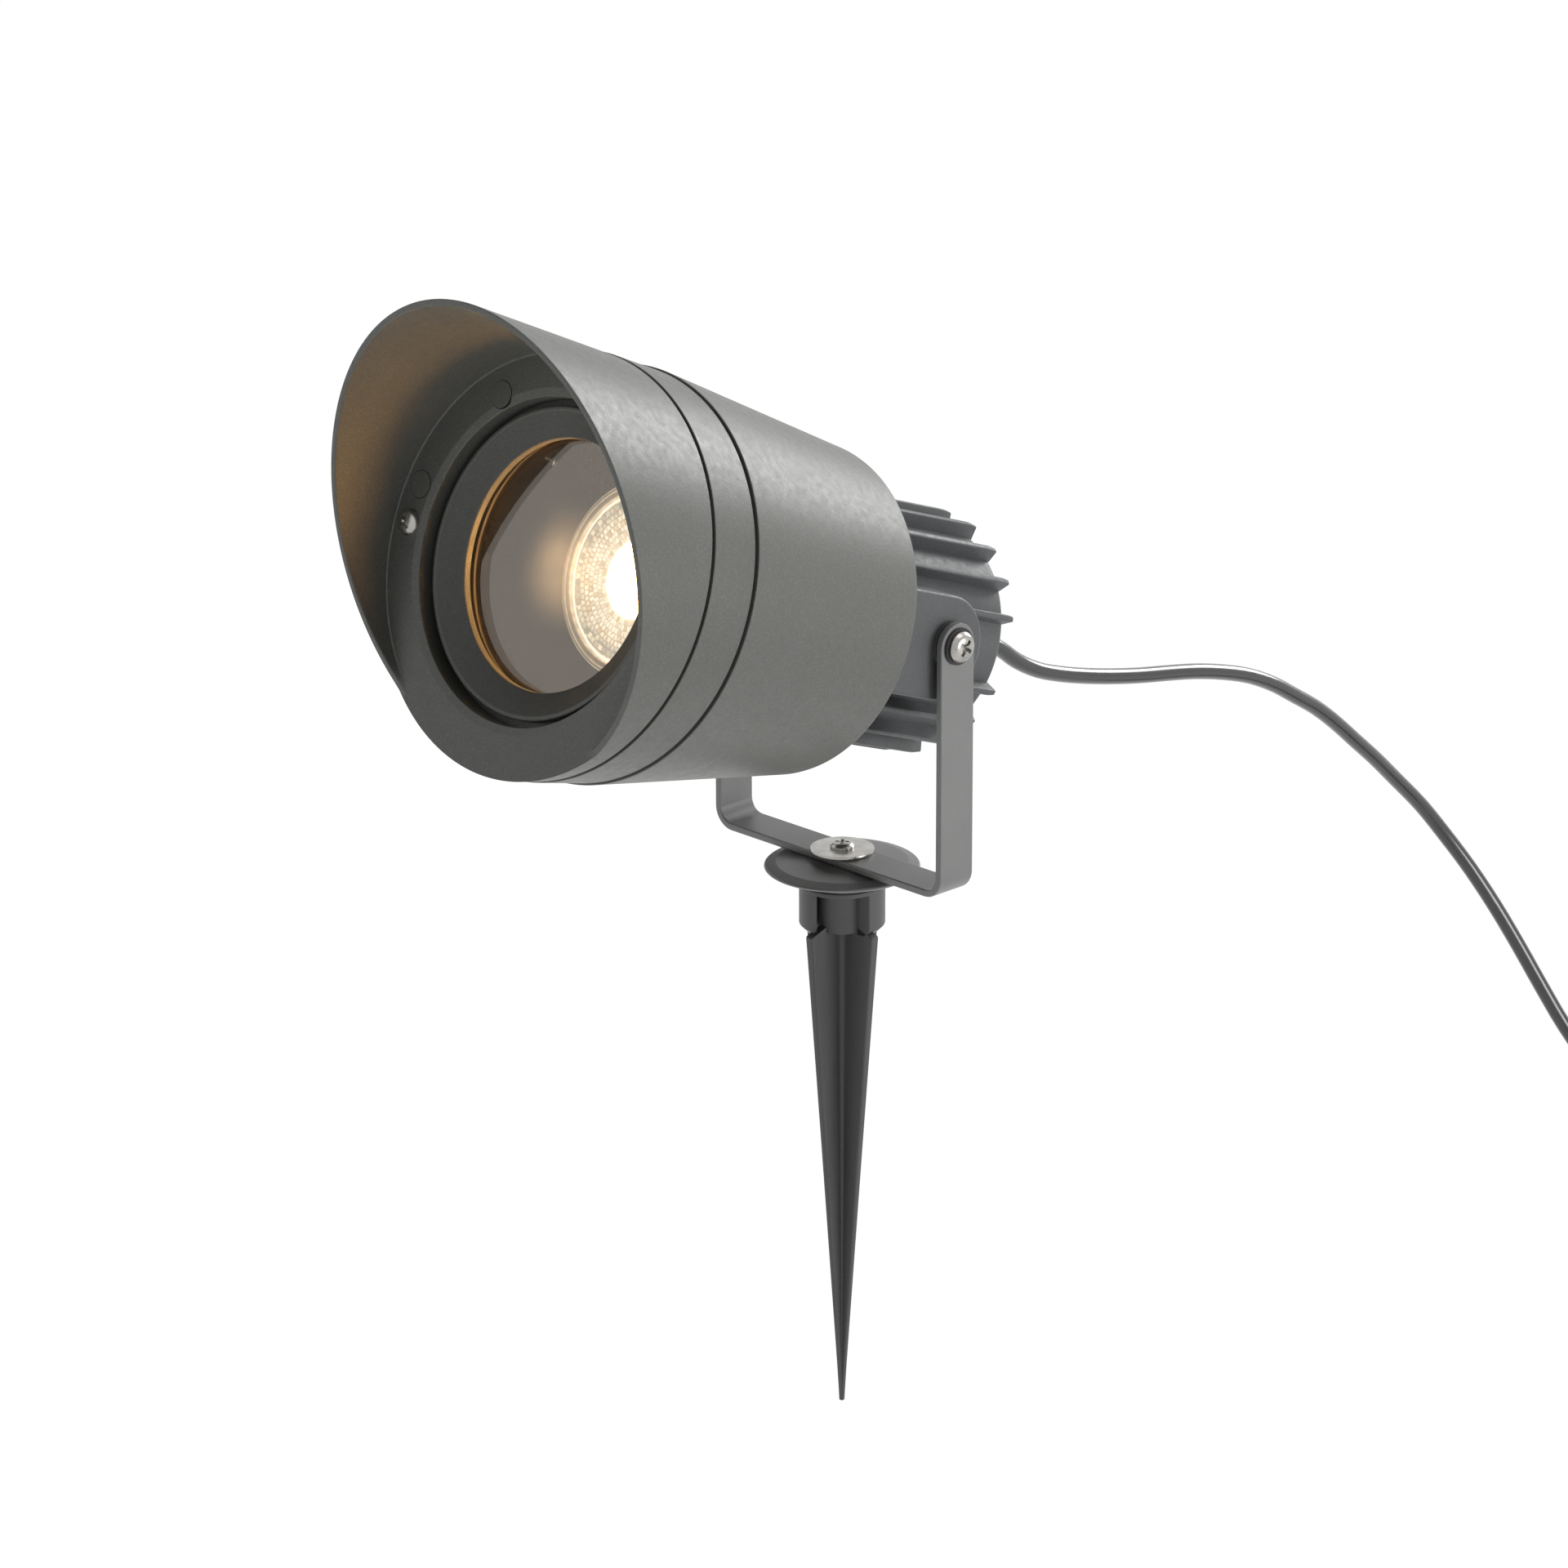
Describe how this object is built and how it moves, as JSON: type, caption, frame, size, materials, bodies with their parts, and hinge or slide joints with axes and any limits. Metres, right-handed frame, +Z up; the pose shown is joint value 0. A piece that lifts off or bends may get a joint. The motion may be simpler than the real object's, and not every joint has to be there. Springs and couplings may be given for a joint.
{
  "type": "spike spotlight",
  "caption": "Garden spotlight with a conical tilting head, oblique glare visor, finned rear body, strap bracket turning on a ground spike, and a thin coiled lead with a two-pin plug.",
  "frame": {"origin": "on the spike's axis at the underside of its collar, where it meets the soil", "axes": "+Z up along the spike, -Y the way the beam points (19.8 degrees up at rest), X along the tilt axis"},
  "size_m": [0.2091, 0.465, 0.3315],
  "materials": {
    "graphite_paint": "fine textured powder coat, satin, anthracite grey",
    "black_plastic": "moulded, satin",
    "bright_steel": "plain bright stainless",
    "black_rubber": "matt",
    "cord_sheath": "smooth extruded sheath, slight sheen",
    "clear_glass": "clear, polished",
    "lamp_glass": "faceted reflector glass with a bright coating",
    "lit_lens": "lit warm white",
    "white_ceramic": "glazed ceramic",
    "wire_sleeve": "silicone insulation"
  },
  "bodies": {
    "root": {"spike": "black_plastic", "rosette": "graphite_paint", "base_nut": "bright_steel", "base_screw": "bright_steel", "base_washer": "bright_steel"},
    "bracket": {"bracket": "graphite_paint", "cord": "cord_sheath", "cord_coil": "cord_sheath", "coil_tie": "black_plastic", "plug_relief": "black_rubber", "plug_body": "black_rubber", "plug_insert": "black_plastic", "plug_pins": "bright_steel", "plug_nut": "black_plastic"},
    "head": {"friction_washers": "black_plastic", "head_washers": "black_rubber", "pivot_screws": "bright_steel", "rear_body": "graphite_paint", "rear_gasket": "black_rubber", "rear_screws": "bright_steel", "housing": "graphite_paint", "ring_seal": "black_rubber", "front_ring": "graphite_paint", "cowl": "graphite_paint", "cowl_screws": "bright_steel", "glass": "clear_glass", "glass_gasket": "black_rubber", "glass_clamp": "bright_steel", "clamp_screws": "bright_steel", "lamp_plate": "graphite_paint", "plate_screws": "bright_steel", "lamp_body": "lamp_glass", "lamp_lens": "lit_lens", "lamp_pins": "bright_steel", "lamp_holder": "white_ceramic", "holder_plate": "bright_steel", "holder_screws": "bright_steel", "terminal_block": "white_ceramic", "terminal_screw": "bright_steel", "inner_wires": "wire_sleeve", "gland_body": "black_plastic", "gland_seal": "black_rubber", "gland_nut": "black_plastic", "gland_lock_nut": "black_plastic", "cord_relief": "black_rubber", "cord_inlet": "cord_sheath"}
  },
  "joints": [
    {"name": "pan", "type": "hinge", "parent": "root", "child": "bracket", "pos_m": [0, 0, 0.0194], "axis": [0, 0, 1], "range_deg": [-175, 175]},
    {"name": "tilt", "type": "hinge", "parent": "bracket", "child": "head", "pos_m": [0, 0, 0.0876], "axis": [-1, 0, 0], "range_deg": [-45, 50], "deforming": ["cord"]}
  ]
}
